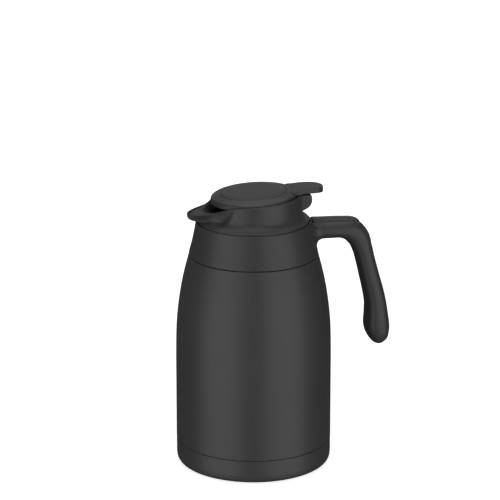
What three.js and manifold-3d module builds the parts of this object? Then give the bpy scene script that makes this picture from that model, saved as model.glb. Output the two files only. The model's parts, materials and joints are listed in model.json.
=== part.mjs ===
// Lever-lid vacuum carafe, about 1.5 litres: a double-walled steel jug with a moulded collar and handle.
// Its stopper unit turns and lifts out, and has a thumb lever that raises its lid and pulls the valve open.
// Frame: millimetres, +Z up, origin under the middle of the base, +X towards the handle, spout at -X.
import * as THREE from "three";
import { mergeVertices } from "three/addons/utils/BufferGeometryUtils.js";
import Module from "manifold-3d";

const wasm = await Module();
wasm.setup();

// ---- driving dimensions ----
const BODY_RADIUS = 62; // steel body, outside
const STEEL = 0.8; // thickness of each steel wall
const BASE_SEAM_Z = 19.7; // joint between base cup and steel body
const COLLAR_SEAM_Z = 172.6; // joint between steel body and collar
const RIM_Z = 199.5; // top of the collar
const RECESS_RADIUS = 44.75; // recess of the collar, where the stopper's flange sits
const LEDGE_Z = 197; // floor of that recess
const NECK_RADIUS = 37.4; // steel neck, outside
const MOUTH_RADIUS = 34.7; // inside of the neck
const NECK_TOP_Z = 192; // top of the rolled steel mouth
const LINER_RADIUS = 58.2;
const LINER_FLOOR_Z = 9;
const GAP = 0.3; // between pieces that touch

const FLANGE_RADIUS = 44.2; // stopper unit, outside
const HOUSING_RADIUS = 37.3; // upper rim of the stopper's housing, outside
const HOUSING_WALL = 1.6;
const SPOUT_REACH = 52.5; // tip of the spout, from the axis
const PLUG_RADIUS = 33.2;
const PLUG_BOTTOM_Z = 166.2;

const LID_RADIUS = 34.3;
const LID_TOP_Z = 223.8; // middle of the lid's upper face
const LID_TILT = 0.062; // radians, rising towards the handle
const CAP_RADIUS = 25.7; // inlaid disc on top of the lid
const TAIL_REACH = 55.5; // end of the thumb lever, from the axis

const PIN_X = 42; // lid hinge
const PIN_Z = 217;
const PIN_RADIUS = 1.25;
const PIN_CLEARANCE = 0.09; // between the pin and its bores
const PIN_ENDS = [-8.4, 9.3]; // the bore is blind on the -Y side
const STEM_RADIUS = 2.6;

const LUGS = 3; // bayonet lugs on the plug
const FINE = 32; // steps round the large pieces
const COARSE = 16; // steps round the small ones
const HOUSING_STEPS = 40; // steps round the stopper housing

// ---- finishes ----
function finish(color, roughness, metalness) {
  return new THREE.MeshStandardMaterial({ color, roughness, metalness });
}

const coatedSteel = finish(0x3b3939, 0.55, 0.3);
const casing = finish(0x393737, 0.6, 0);
const bareSteel = finish(0xb9b7b2, 0.32, 1);
const foil = finish(0xc98f63, 0.35, 1);
const darkPlastic = finish(0x262526, 0.6, 0);
const silicone = finish(0x6f7072, 0.7, 0);
const paleFoam = finish(0xd9d6cc, 0.9, 0);
const rubber = finish(0x1b1b1c, 0.85, 0);

// ---- small tools ----
const group = new THREE.Group();

function add(name, geometry, material) {
  const mesh = new THREE.Mesh(geometry, material);
  mesh.name = name;
  group.add(mesh);
}

// A closed mesh as a manifold-3d solid, with its shared vertices merged.
function solid(geometry) {
  const bare = geometry.clone();
  bare.deleteAttribute("normal");
  bare.deleteAttribute("uv");
  const merged = mergeVertices(bare, 1e-4);
  const vertProperties = new Float32Array(merged.attributes.position.array);
  const triVerts = new Uint32Array(merged.index.array);
  return new wasm.Manifold(new wasm.Mesh({ numProp: 3, vertProperties, triVerts }));
}

function geometryOf(body) {
  const made = body.getMesh();
  return new THREE.BufferGeometry()
    .setAttribute("position", new THREE.BufferAttribute(made.vertProperties, 3))
    .setIndex(new THREE.BufferAttribute(made.triVerts, 1));
}

// A solid of revolution about Z. points are [radius, z], anticlockwise in the radius-z plane.
function lathe(points, steps = FINE) {
  const profile = points.map(([radius, z]) => new THREE.Vector2(radius, z));
  return new THREE.LatheGeometry(profile, steps).rotateX(Math.PI / 2);
}

// A ring of rectangular section.
function ring(inner, outer, low, high, steps = FINE) {
  return lathe([[inner, low], [outer, low], [outer, high], [inner, high], [inner, low]], steps);
}

function disc(radius, low, high, steps = FINE) {
  return new THREE.CylinderGeometry(radius, radius, high - low, steps)
    .rotateX(Math.PI / 2)
    .translate(0, 0, (low + high) / 2);
}

// A cylinder along Y, from low to high.
function crossRod(radius, [low, high], x, z, steps = COARSE) {
  return new THREE.CylinderGeometry(radius, radius, high - low, steps).translate(x, (low + high) / 2, z);
}

const PIN_STEPS = 20;

// What the hinge pin's bore takes away.
function pinBore() {
  const ends = [PIN_ENDS[0] - PIN_CLEARANCE, PIN_ENDS[1] + 3];
  return crossRod(PIN_RADIUS + PIN_CLEARANCE, ends, PIN_X, PIN_Z, PIN_STEPS);
}

function block(low, high) {
  const size = high.map((value, i) => value - low[i]);
  const middle = high.map((value, i) => (value + low[i]) / 2);
  return new THREE.BoxGeometry(...size).translate(...middle);
}

const smoothstep = (t) => {
  const held = Math.min(1, Math.max(0, t));
  return held * held * (3 - 2 * held);
};

// Straight-line interpolation in a short table of [input, output] rows.
function lookUp(table, value) {
  const last = table.length - 1;
  if (value <= table[0][0]) return table[0][1];
  if (value >= table[last][0]) return table[last][1];
  const i = table.findIndex((row) => row[0] > value) - 1;
  const share = (value - table[i][0]) / (table[i + 1][0] - table[i][0]);
  return table[i][1] + share * (table[i + 1][1] - table[i][1]);
}

// A unit column along Z whose every vertex is moved by place(turn, height, out): turn in radians,
// height 0 to 1, and out 1 on the skin or 0 on the axis.
function shapedColumn(turns, heights, place) {
  const column = new THREE.CylinderGeometry(1, 1, 1, turns, heights).rotateX(Math.PI / 2);
  const spots = column.attributes.position;
  for (let i = 0; i < spots.count; i++) {
    const turn = Math.atan2(spots.getY(i), spots.getX(i));
    const out = Math.hypot(spots.getX(i), spots.getY(i)) > 0.5 ? 1 : 0;
    spots.setXYZ(i, ...place(turn, spots.getZ(i) + 0.5, out));
  }
  return column;
}

// ---- pot: steel body and base ----
function shoulder() {
  const spline = new THREE.SplineCurve([
    new THREE.Vector2(BODY_RADIUS, 88),
    new THREE.Vector2(61.3, 116),
    new THREE.Vector2(59.2, 136),
    new THREE.Vector2(56.1, 153.5),
    new THREE.Vector2(51.45, COLLAR_SEAM_Z - 0.4),
  ]);
  return spline.getPoints(6).map((p) => [p.x, p.y]);
}

function outerShell() {
  const outside = [
    [1.6, 5.4], [6, 5.4], [8, 3.4], [56.5, 3.4], [59.6, 5], [60.3, 8], [60.3, BASE_SEAM_Z],
    [BODY_RADIUS - 0.1, BASE_SEAM_Z + 0.6], ...shoulder(),
    [49.2, 172.9], [46.5, 174.6], [NECK_RADIUS, 184.5], [NECK_RADIUS, 190.9],
  ];
  const inside = [
    [NECK_RADIUS - STEEL, 190.9], [NECK_RADIUS - STEEL, 184.1], [45.9, 174], [48.9, 172.1],
    ...shoulder().reverse().map(([radius, z]) => [radius - STEEL, z - 0.2]),
    [61.1, 22], [59.5, 21], [59.5, 8], [59, 5.6], [56.3, 4.2], [8.4, 4.2], [6.4, 6.2], [1.6, 6.2], [1.6, 5.4],
  ];
  return lathe([...outside, ...inside]);
}

function innerLiner() {
  const wall = [
    [LINER_RADIUS - 6, LINER_FLOOR_Z], [LINER_RADIUS - 2, LINER_FLOOR_Z + 1.5],
    [LINER_RADIUS, LINER_FLOOR_Z + 7],
    [LINER_RADIUS, 95], [57.6, 120], [56, 140], [53, 155], [49, 166], [44.5, 174],
    [MOUTH_RADIUS + STEEL, 184.2],
  ];
  const outside = [[0, LINER_FLOOR_Z], ...wall, [MOUTH_RADIUS + STEEL, 191.2], [NECK_RADIUS, 191.2]];
  const inside = [
    [NECK_RADIUS, NECK_TOP_Z], [MOUTH_RADIUS, NECK_TOP_Z],
    ...wall.reverse().map(([radius, z]) => [radius - STEEL, z + (z < 20 ? STEEL : -0.2)]),
    [0, LINER_FLOOR_Z + STEEL],
  ];
  return lathe([...outside, ...inside]);
}

function baseCup() {
  return lathe([
    [0, 2.1], [48.4, 2.1], [48.4, 0.3], [57, 0.3], [60.2, 1.4], [61.5, 3.8], [61.9, 7],
    [61.9, BASE_SEAM_Z - 0.3], [61.5, BASE_SEAM_Z], [60.7, BASE_SEAM_Z], [60.7, 6.4], [59, 3.9],
    [57.5, 3.1], [0, 3.1],
  ]);
}

function vacuumSeal() {
  return lathe([[0, 3.6], [4, 3.6], [4, 4.7], [1.2, 5], [1.2, 7], [0, 7]], COARSE);
}

function addPot() {
  add("outer_shell", outerShell(), coatedSteel);
  add("inner_liner", innerLiner(), bareSteel);
  add("reflector_foil", ring(58.8, 59.2, 20, 94), foil);
  add("getter_pellet", disc(6, 5.1, 8.7, COARSE).translate(24, 0, 0), bareSteel);
  add("vacuum_seal", vacuumSeal(), bareSteel);
  add("base_cup", baseCup(), casing);
  add("base_pad", disc(48, 0, 1.8), rubber);
}

// ---- pot: collar with handle ----
// The handle's middle line and section: x, z, half its thickness, half its width.
const HANDLE_STATIONS = [
  [40, 189.6, 8.4, 20], [48, 189.8, 7.9, 15.5], [54, 190, 7.6, 12.6], [62, 190.1, 7.5, 11.6],
  [70.5, 189.8, 7.6, 11.3], [78.6, 187.6, 9.1, 11.3], [84.3, 181.7, 9, 11.3], [87.6, 173, 7.9, 11.4],
  [90, 164.2, 7.6, 11.5], [93.6, 150, 7.8, 11.6], [96.9, 137, 8.2, 11.8], [98.9, 127, 8.5, 12.2],
  [99.7, 117.5, 9.3, 12.8], [100.3, 107, 10.1, 13.2], [102, 99.8, 8.5, 12], [104.1, 95.2, 5.7, 9],
  [105.8, 92.4, 1.2, 2],
];
const COVER_HALF_WIDTH = 6.2;
const COVER_DEPTH = 1.3; // how deep the covers sit in the handle
const RIDGE = 1.2; // how far the arm's cover stands proud
const ARM_COVER = [0.06, 0.32]; // share of the handle's length that each cover takes
const GRIP_COVER = [0.335, 0.93];

const handleLine = new THREE.CatmullRomCurve3(
  HANDLE_STATIONS.map(([x, z]) => new THREE.Vector3(x, 0, z)), false, "centripetal");

// Middle point, outward normal and half sizes at a share of the handle's length.
function handleAt(share) {
  const held = Math.min(1, Math.max(0, share));
  const place = held * (HANDLE_STATIONS.length - 1);
  const thick = HANDLE_STATIONS.map((row, i) => [i, row[2]]);
  const wide = HANDLE_STATIONS.map((row, i) => [i, row[3]]);
  const middle = handleLine.getPoint(held);
  const along = handleLine.getTangent(held);
  const outward = new THREE.Vector3(-along.z, 0, along.x);
  return { middle, outward, thick: lookUp(thick, place), wide: lookUp(wide, place) };
}

// A rounded-rectangle section: 1 at the flats, with the corner pulled in by the exponent.
function superCircle(turn, power) {
  const pull = (value) => (Math.abs(value) < 1e-9 ? 0 : Math.sign(value) * Math.abs(value) ** (2 / power));
  return [pull(Math.cos(turn)), pull(Math.sin(turn))];
}

function handleBar() {
  return shapedColumn(20, 30, (turn, height, out) => {
    const at = handleAt(height);
    const [across, up] = superCircle(turn, 2.6);
    const spot = at.middle.clone().addScaledVector(at.outward, up * at.thick * out);
    return [spot.x, across * at.wide * out, spot.z];
  });
}

// A strip that follows the handle's back, between two shares of its length.
function handleStrip([from, to], halfWidth, low, high) {
  const strip = new THREE.BoxGeometry(2, 2, 2, 1, 1, 16);
  const spots = strip.attributes.position;
  for (let i = 0; i < spots.count; i++) {
    const share = from + ((spots.getZ(i) + 1) / 2) * (to - from);
    const at = handleAt(share);
    const rise = spots.getX(i) > 0 ? high : low;
    const spot = at.middle.clone().addScaledVector(at.outward, at.thick + rise);
    spots.setXYZ(i, spot.x, -spots.getY(i) * halfWidth, spot.z);
  }
  return strip;
}

const SCREW_XS = [57, 70];
const SCREW_RADIUS = 1.9;

function screwHole(x) {
  return disc(SCREW_RADIUS + GAP, 188, 200, COARSE / 2).translate(x, 0, 0);
}

function collarAndHandle() {
  const wall = lathe([
    [0, COLLAR_SEAM_Z + 0.3], [51.3, COLLAR_SEAM_Z + 0.3], [48.9, 182.5], [47, 191.5], [45.75, 199],
    [45.5, RIM_Z - 0.5], [45, RIM_Z], [0, RIM_Z],
  ]);
  const hollow = lathe([
    [0, 160], [51, 168], [49.6, COLLAR_SEAM_Z + 0.2], [43, 194.4], [41.5, 194.4], [41.5, 186], [38.9, 186],
    [38.9, LEDGE_Z], [RECESS_RADIUS, LEDGE_Z], [RECESS_RADIUS, 210], [0, 210],
  ]);
  const reach = [ARM_COVER[0] - 0.01, GRIP_COVER[1] + 0.005];
  const channel = handleStrip(reach, COVER_HALF_WIDTH + GAP, -COVER_DEPTH, 6);
  let body = solid(wall).add(solid(handleBar())).subtract(solid(hollow)).subtract(solid(channel));
  SCREW_XS.forEach((x) => {
    body = body.subtract(solid(screwHole(x)));
  });
  return geometryOf(body);
}

function addHandleParts() {
  add("collar_handle", collarAndHandle(), casing);
  const floor = GAP - COVER_DEPTH;
  add("arm_top_cover", handleStrip(ARM_COVER, COVER_HALF_WIDTH, floor, RIDGE), casing);
  add("grip_back_cover", handleStrip(GRIP_COVER, COVER_HALF_WIDTH, floor, 0.2), casing);
  SCREW_XS.forEach((x, i) => {
    add(`handle_screw_${i + 1}`, disc(SCREW_RADIUS, 188.4, 195.4, COARSE / 2).translate(x, 0, 0), bareSteel);
  });
}

// ---- pot: what sits between the steel neck and the collar ----
const LUG_RADIUS = 36.2;
const GROOVE_RADIUS = 36.6;

function aroundThree(make) {
  return Array.from({ length: LUGS }, (_, i) => make().rotateZ(((2 * i + 1) * Math.PI) / LUGS));
}

function bayonetRing() {
  const outer = solid(ring(GROOVE_RADIUS, 38.6, 192.5, 196.9));
  let lands = solid(ring(34.9, GROOVE_RADIUS + 0.4, 194.9, 196.9));
  aroundThree(() => block([30, -9.5, 194], [36.4, 9.5, 198])).forEach((gate) => {
    lands = lands.subtract(solid(gate));
  });
  return geometryOf(outer.add(lands));
}

function addNeckParts() {
  add("neck_washer", ring(NECK_RADIUS + 0.4, 44, 184.9, 185.7), bareSteel);
  add("neck_gasket", ring(37.7, 38.6, 187, 191.9), silicone);
  add("bayonet_ring", bayonetRing(), darkPlastic);
}

// ---- stopper housing: flange, cone, spout and hinge ears ----
// The rim rises a little towards the handle, is slightly crowned, and drops towards the spout.
const RIM = { middle: 220.2, slope: 0.065, crown: 0.0011, drop: 4.5, dropStart: -22, dropLength: 16 };

function rimHeight(x) {
  const drop = RIM.drop * smoothstep((RIM.dropStart - x) / RIM.dropLength);
  return RIM.middle + RIM.slope * x - RIM.crown * x * x - drop;
}

// Outside radius of the rim, by the angle from the spout in degrees.
const RIM_PLAN = [
  [0, SPOUT_REACH], [5, 51.8], [8, 50], [11, 47.7], [13.5, 45.2], [16.3, 42.7], [19.6, 40.3], [23, 38.3],
  [28, 37], [38, 36.2], [50, 36.6], [60, HOUSING_RADIUS],
];

// The housing's outside: radius, share of the way from the flange to the rim, and the spout's part in it.
const HOUSING_SKIN = [
  [42.6, 0, 0.04], [39.6, 0.13, 0.8], [37.9, 0.32, 0.96], [37.5, 0.6, 1], [HOUSING_RADIUS, 1, 1],
];
const FLANGE_SKIN = [[FLANGE_RADIUS, LEDGE_Z + 0.4], [FLANGE_RADIUS, 200.4], [43.6, 201.3]];
const SHOULDER_Z = 201.8; // foot of the cone

// The bowl inside it.
const BOWL_SKIN = [
  [33.6, 0, 0], [35.2, 0.16, 0.86], [35.7, 0.45, 0.98], [HOUSING_RADIUS - HOUSING_WALL, 1, 1],
];
const DRAIN_RADIUS = 30.4;
const BOWL_FLOOR_Z = 203.4;
const SPOUT_FLOOR_RISE = 1.8; // how much higher the floor is at the spout's tip

// turn 0 is the handle's side, so the spout is at half a turn.
function rimReach(turn) {
  const degrees = Math.abs(180 - Math.abs(THREE.MathUtils.radToDeg(turn)));
  return lookUp(RIM_PLAN, degrees);
}

function housingSkin(turns) {
  const rows = FLANGE_SKIN.length + HOUSING_SKIN.length;
  return shapedColumn(turns, rows - 1, (turn, height, out) => {
    const row = Math.round(height * (rows - 1));
    const spout = rimReach(turn) - HOUSING_RADIUS;
    let radius;
    let z;
    if (row < FLANGE_SKIN.length) {
      [radius, z] = FLANGE_SKIN[row];
    } else {
      const [base, share, part] = HOUSING_SKIN[row - FLANGE_SKIN.length];
      radius = base + spout * part;
      const rim = rimHeight((HOUSING_RADIUS + spout) * Math.cos(turn));
      z = SHOULDER_Z + (rim - SHOULDER_Z) * share;
    }
    if (out === 0) return [0, 0, height < 0.5 ? FLANGE_SKIN[0][1] : 219];
    return [radius * Math.cos(turn), radius * Math.sin(turn), z];
  });
}

function bowl(turns) {
  const drain = [[DRAIN_RADIUS, 190], [DRAIN_RADIUS, 201.2]];
  const rows = drain.length + BOWL_SKIN.length + 1;
  return shapedColumn(turns, rows - 1, (turn, height, out) => {
    const row = Math.round(height * (rows - 1));
    const spout = rimReach(turn) - HOUSING_RADIUS;
    const spoutPart = Math.max(0, spout) / (SPOUT_REACH - HOUSING_RADIUS);
    const floor = BOWL_FLOOR_Z + SPOUT_FLOOR_RISE * spoutPart;
    let radius;
    let z;
    if (row < drain.length) {
      [radius, z] = drain[row];
    } else {
      const [base, share, part] = BOWL_SKIN[Math.min(row - drain.length, BOWL_SKIN.length - 1)];
      radius = base + spout * part;
      const rim = rimHeight((HOUSING_RADIUS + spout) * Math.cos(turn));
      z = floor + (rim - floor) * share + (row === rows - 1 ? 20 : 0);
    }
    if (out === 0) return [0, 0, height < 0.5 ? 190 : 240];
    return [radius * Math.cos(turn), radius * Math.sin(turn), z];
  });
}

const EAR_Y = [5.4, 9.6];
const EAR_RADIUS = 8;
const EAR_TOP_Z = 220.7;

function earShape() {
  const outline = new THREE.Shape();
  outline.moveTo(36.2, 207);
  outline.lineTo(38, 207.8);
  outline.absarc(37.4, 216.5, EAR_RADIUS, -1.2, 0.25, false);
  outline.quadraticCurveTo(44.9, 220.4, 43.6, EAR_TOP_Z);
  outline.lineTo(36.2, EAR_TOP_Z);
  return outline;
}

function ear(side) {
  const depth = EAR_Y[1] - EAR_Y[0];
  const plate = new THREE.ExtrudeGeometry(earShape(), { depth, bevelEnabled: false, curveSegments: 8 });
  // The outline lies in X-Z, so the extrusion's depth runs along -Y.
  return plate.rotateX(Math.PI / 2).translate(0, side > 0 ? EAR_Y[1] : -EAR_Y[0], 0);
}

function stopperHousing() {
  const underside = disc(36.9, 190, 199);
  const body = solid(housingSkin(HOUSING_STEPS)).add(solid(ear(1))).add(solid(ear(-1)));
  const pinHole = solid(pinBore());
  return geometryOf(body.subtract(solid(bowl(HOUSING_STEPS))).subtract(solid(underside)).subtract(pinHole));
}

// ---- stopper: plug, insulation, seals and valve guide ----
function stopperPlug() {
  const body = lathe([
    [8.8, PLUG_BOTTOM_Z], [10.4, PLUG_BOTTOM_Z], [10.4, 169], [16.8, 169], [16.8, 186.6], [30, 193.2],
    [30, 168.8], [PLUG_RADIUS, 168.8], [PLUG_RADIUS, 181.7], [31.8, 181.7], [31.8, 186.3],
    [PLUG_RADIUS, 186.3], [PLUG_RADIUS, 191.6], [34.2, 192.4], [34.2, 197.4], [36.5, 197.4],
    [36.5, 198.7], [33.7, 198.7], [33.7, 197.1], [31.3, 197.1], [31.3, 198.7], [29.5, 198.7],
    [15, 187.5], [15, 171], [10.6, 171], [10.2, 171.8], [9.2, 171.8], [8.8, 171], [8.8, PLUG_BOTTOM_Z],
  ]);
  const reach = solid(disc(LUG_RADIUS, 190, 198));
  let made = solid(body);
  aroundThree(() => block([33.5, -7, 192.7], [38, 7, 194.5])).forEach((lug) => {
    made = made.add(solid(lug).intersect(reach));
  });
  return geometryOf(made);
}

function plugInsulation() {
  return lathe([[17.2, 169.3], [29.6, 169.3], [29.6, 192.3], [17.2, 186.1], [17.2, 169.3]]);
}

function valveBridge() {
  let made = solid(ring(26.2, 30.05, 199.1, 201.1)).add(solid(disc(5.2, 197.9, 203, COARSE)));
  aroundThree(() => block([3, -1.6, 199.1], [27.5, 1.6, 201.1])).forEach((spoke) => {
    made = made.add(solid(spoke));
  });
  return geometryOf(made.subtract(solid(disc(STEM_RADIUS + 0.1, 190, 210, COARSE))));
}

function addStopper() {
  add("stopper_housing", stopperHousing(), casing);
  add("stopper_plug", stopperPlug(), darkPlastic);
  add("plug_insulation", plugInsulation(), paleFoam);
  add("plug_bottom_cover", ring(10.8, 32.9, PLUG_BOTTOM_Z, 168.4), darkPlastic);
  add("stopper_gasket", ring(32.1, 34.35, 182.1, 185.9), silicone);
  add("housing_seal", ring(31.6, 33.4, 197.4, 198.6), silicone);
  add("valve_bridge", valveBridge(), darkPlastic);
  add("hinge_pin", crossRod(PIN_RADIUS, PIN_ENDS, PIN_X, PIN_Z, PIN_STEPS), bareSteel);
}

// ---- valve ----
function valveDisc() {
  return lathe([
    [0, 172.4], [7.2, 172.4], [7.2, 174.2], [12.8, 174.2], [12.8, 175.8], [4.4, 176.6], [4.4, 180],
    [2.9, 180], [2.9, 174.6], [0, 174.6],
  ], COARSE);
}

function valveStem() {
  return lathe([
    [0, 174.9], [STEM_RADIUS, 174.9], [STEM_RADIUS, 209.3], [5, 209.3], [5, 210.8], [4.2, 211.4], [0, 211.4],
  ], COARSE);
}

const SPRING = { low: 177.5, high: 197, coils: 6, radius: 6.2, wire: 0.5, stepsPerCoil: 9 };

function valveSpring() {
  const { low, high, coils, radius } = SPRING;
  const steps = coils * SPRING.stepsPerCoil;
  const turns = Array.from({ length: steps + 1 }, (_, i) => {
    const angle = (i / steps) * coils * 2 * Math.PI;
    const z = low + ((high - low) * i) / steps;
    return new THREE.Vector3(radius * Math.cos(angle), radius * Math.sin(angle), z);
  });
  const wire = new THREE.Shape().absarc(0, 0, SPRING.wire, 0, 2 * Math.PI, false);
  const extrudePath = new THREE.CatmullRomCurve3(turns);
  return new THREE.ExtrudeGeometry(wire, { steps, extrudePath, curveSegments: 2, bevelEnabled: false });
}

function addValve() {
  add("valve_stem", valveStem(), bareSteel);
  add("valve_disc", valveDisc(), darkPlastic);
  add("valve_gasket", ring(7.5, 12.4, 172.1, 173.9, COARSE), silicone);
  add("valve_spring", valveSpring(), bareSteel);
}

// ---- lid with thumb lever ----
// Puts a shape made round the lid's own axis into its tilted place.
function onLid(geometry) {
  return geometry.rotateY(-LID_TILT).translate(0, 0, LID_TOP_Z);
}

// The thumb lever behind the lid: x, middle z, half thickness, half width.
const TAIL_STATIONS = [
  [28.4, 222.3, 1.8, 15], [33, 223.1, 2, 12.4], [38, 223.75, 2.2, 10.8], [44, 223.98, 2.3, 10.2],
  [49, 223.85, 2.25, 9.4], [52.6, 223.65, 2.25, 7.6], [54.6, 223.45, 2.1, 5], [TAIL_REACH, 223.3, 1.8, 2.2],
];

function leverTail() {
  const last = TAIL_STATIONS.length - 1;
  return shapedColumn(16, last, (turn, height, out) => {
    const [x, z, thick, wide] = TAIL_STATIONS[Math.round(height * last)];
    const [across, up] = superCircle(turn, 6);
    return [x, across * wide * out, z + up * thick * out];
  });
}

const YOKE_SCREW_RADIUS = 1.5;

function leverBase() {
  const pan = onLid(lathe([
    [0, -3.1], [31.6, -3.1], [32.6, -6.8], [33.9, -6.8], [LID_RADIUS, -6.2], [LID_RADIUS, -4.6],
    [33.6, -3.2], [32.2, -2.2], [30, -1.35], [CAP_RADIUS + GAP, -0.45], [CAP_RADIUS + GAP, -2], [0, -2],
  ]));
  const knuckleHalf = 4.9;
  const neck = solid(block([39.4, -knuckleHalf, PIN_Z], [44.8, knuckleHalf, 223.6]));
  const knuckle = solid(crossRod(3.4, [-knuckleHalf, knuckleHalf], PIN_X, PIN_Z)).add(neck);
  const pinHole = solid(pinBore());
  const recess = solid(onLid(disc(CAP_RADIUS + GAP, -2, 12)));
  const screwHole = solid(disc(YOKE_SCREW_RADIUS + GAP, 216, 223, COARSE / 2));
  const body = solid(pan).add(solid(leverTail())).add(knuckle);
  return geometryOf(body.subtract(pinHole).subtract(recess).subtract(screwHole));
}

function leverCap() {
  return onLid(lathe([
    [0, -1.7], [CAP_RADIUS, -1.7], [CAP_RADIUS, -0.6], [24.4, -0.25], [19, 0.1], [0, 0.2],
  ]));
}

function lifterYoke() {
  let made = solid(block([-5, -8.4, 218.5], [5, 8.4, 220.1]));
  [1, -1].forEach((side) => {
    const leg = [6.2 * side, 8.4 * side].sort((a, b) => a - b);
    const toe = [3.3 * side, 8.4 * side].sort((a, b) => a - b);
    made = made.add(solid(block([-2.5, leg[0], 206.8], [2.5, leg[1], 219])));
    made = made.add(solid(block([-2.5, toe[0], 206.6], [2.5, toe[1], 208.4])));
  });
  return geometryOf(made.subtract(solid(disc(YOKE_SCREW_RADIUS + GAP, 216, 223, COARSE / 2))));
}

function yokeScrew() {
  return lathe([
    [0, 216.4], [3, 216.4], [3, 218.2], [YOKE_SCREW_RADIUS, 218.2], [YOKE_SCREW_RADIUS, 221.6], [0, 221.6],
  ], COARSE / 2);
}

function addLever() {
  add("lever_base", leverBase(), casing);
  add("lever_cap", leverCap(), casing);
  add("lifter_yoke", lifterYoke(), darkPlastic);
  add("yoke_screw", yokeScrew(), bareSteel);
}

addPot();
addHandleParts();
addNeckParts();
addStopper();
addValve();
addLever();

export default group;
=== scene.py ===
# Lever-lid vacuum carafe: fine surfaces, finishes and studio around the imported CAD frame.
# Outlines are in millimetres, in the frame of the part: +Z up, +X towards the handle, spout at -X.
import json
import math

import bmesh
import bpy
import numpy as np
from mathutils import Matrix, Vector


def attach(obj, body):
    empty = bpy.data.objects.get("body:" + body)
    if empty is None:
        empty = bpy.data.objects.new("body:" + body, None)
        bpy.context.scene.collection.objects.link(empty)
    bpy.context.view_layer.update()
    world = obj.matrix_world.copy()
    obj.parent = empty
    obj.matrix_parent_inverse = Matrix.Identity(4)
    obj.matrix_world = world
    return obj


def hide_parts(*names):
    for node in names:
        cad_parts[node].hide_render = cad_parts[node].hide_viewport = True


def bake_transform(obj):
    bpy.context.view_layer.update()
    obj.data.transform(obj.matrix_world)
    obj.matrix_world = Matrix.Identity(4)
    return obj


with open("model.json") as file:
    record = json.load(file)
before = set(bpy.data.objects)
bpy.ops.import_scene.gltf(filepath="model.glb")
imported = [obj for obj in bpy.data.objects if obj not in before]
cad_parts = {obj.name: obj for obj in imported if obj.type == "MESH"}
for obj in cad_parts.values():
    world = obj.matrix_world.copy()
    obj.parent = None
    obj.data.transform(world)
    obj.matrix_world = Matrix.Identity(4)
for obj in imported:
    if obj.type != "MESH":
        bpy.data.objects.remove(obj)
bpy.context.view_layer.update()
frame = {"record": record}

MM = 0.001  # metres in a millimetre
FINE = 176  # steps round the large turned pieces
COARSE = 80  # steps round the small ones
ROUND = 0.3  # usual edge radius
GAP = 0.3  # between pieces that touch

BODY_RADIUS = 62
BASE_SEAM_Z = 19.7
COLLAR_SEAM_Z = 172.6
RIM_Z = 199.5
RECESS_RADIUS = 44.75
LEDGE_Z = 197
NECK_RADIUS = 37.4
MOUTH_RADIUS = 34.7
STEEL = 0.8
HOUSING_RADIUS = 37.3
SPOUT_REACH = 53.1
PLUG_RADIUS = 33.2
PLUG_BOTTOM_Z = 166.2
LID_RADIUS = 34.3
LID_TOP_Z = 223.8
LID_TILT = 0.062
CAP_RADIUS = 25.7
PIN_X = 42
PIN_Z = 217
PIN_RADIUS = 1.25
PIN_BORE = 1.34
PIN_ENDS = (-8.4, 9.3)  # the bore is blind on the -Y side
STEM_RADIUS = 2.6


# ---- curves and outlines ----
def smooth_rows(rows, places):
    """The rows of a short table joined by a smooth curve, read at places counted in rows."""
    rows = np.array(rows, float)
    steps = np.linalg.norm(np.diff(rows[:, :2], axis=0), axis=1) ** 0.5
    knots = np.concatenate([[0], np.cumsum(steps)])
    slopes = np.gradient(rows, knots, axis=0)
    places = np.atleast_1d(np.array(places, float))
    first = np.clip(places.astype(int), 0, len(rows) - 2)
    t = (places - first)[:, None]
    span = steps[first][:, None]
    start, end = rows[first], rows[first + 1]
    leave, arrive = slopes[first] * span, slopes[first + 1] * span
    return (
        start * (2 * t**3 - 3 * t**2 + 1)
        + leave * (t**3 - 2 * t**2 + t)
        + end * (3 * t**2 - 2 * t**3)
        + arrive * (t**3 - t**2)
    )


def smoothstep(value):
    held = np.clip(value, 0, 1)
    return held * held * (3 - 2 * held)


def rounded(corners, radius=ROUND, steps=4, closed=True):
    """The points of an outline. A corner is (across, up) or (across, up, its own radius)."""
    points = []
    for i, corner in enumerate(corners):
        if not closed and i in (0, len(corners) - 1):
            points.append(corner[:2])
            continue
        here = Vector(corner[:2])
        back = Vector(corners[i - 1][:2]) - here
        on = Vector(corners[(i + 1) % len(corners)][:2]) - here
        wanted = corner[2] if len(corner) > 2 else radius
        half = back.angle(on) / 2
        if here.x == 0 or wanted == 0 or half > math.radians(89):
            points.append(tuple(here))
            continue
        cut = min(wanted / math.tan(half), 0.46 * back.length, 0.46 * on.length)
        start = here + back.normalized() * cut
        end = here + on.normalized() * cut
        weight = math.sin(half)
        for t in np.linspace(0, 1, steps + 1):
            shares = ((1 - t) ** 2, 2 * weight * t * (1 - t), t**2)
            spot = (start * shares[0] + here * shares[1] + end * shares[2]) / sum(shares)
            points.append(tuple(spot))
    return points


def band(inner, outer, low, high, radius=ROUND):
    """A rectangular section, anticlockwise."""
    return rounded([(inner, low), (outer, low), (outer, high), (inner, high)], radius)


# ---- meshes ----
def make_object(name, vertices, faces):
    """A mesh object from points in millimetres, with its doubled points merged and its faces outwards."""
    mesh = bpy.data.meshes.new(name)
    mesh.from_pydata((np.array(vertices, float) * MM).tolist(), [], faces)
    shaped = bmesh.new()
    shaped.from_mesh(mesh)
    bmesh.ops.remove_doubles(shaped, verts=shaped.verts, dist=2e-6)
    bmesh.ops.dissolve_degenerate(shaped, edges=shaped.edges, dist=1e-6)
    bmesh.ops.recalc_face_normals(shaped, faces=shaped.faces)
    shaped.to_mesh(mesh)
    shaped.free()
    made = bpy.data.objects.new(name, mesh)
    bpy.context.scene.collection.objects.link(made)
    return made


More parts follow.
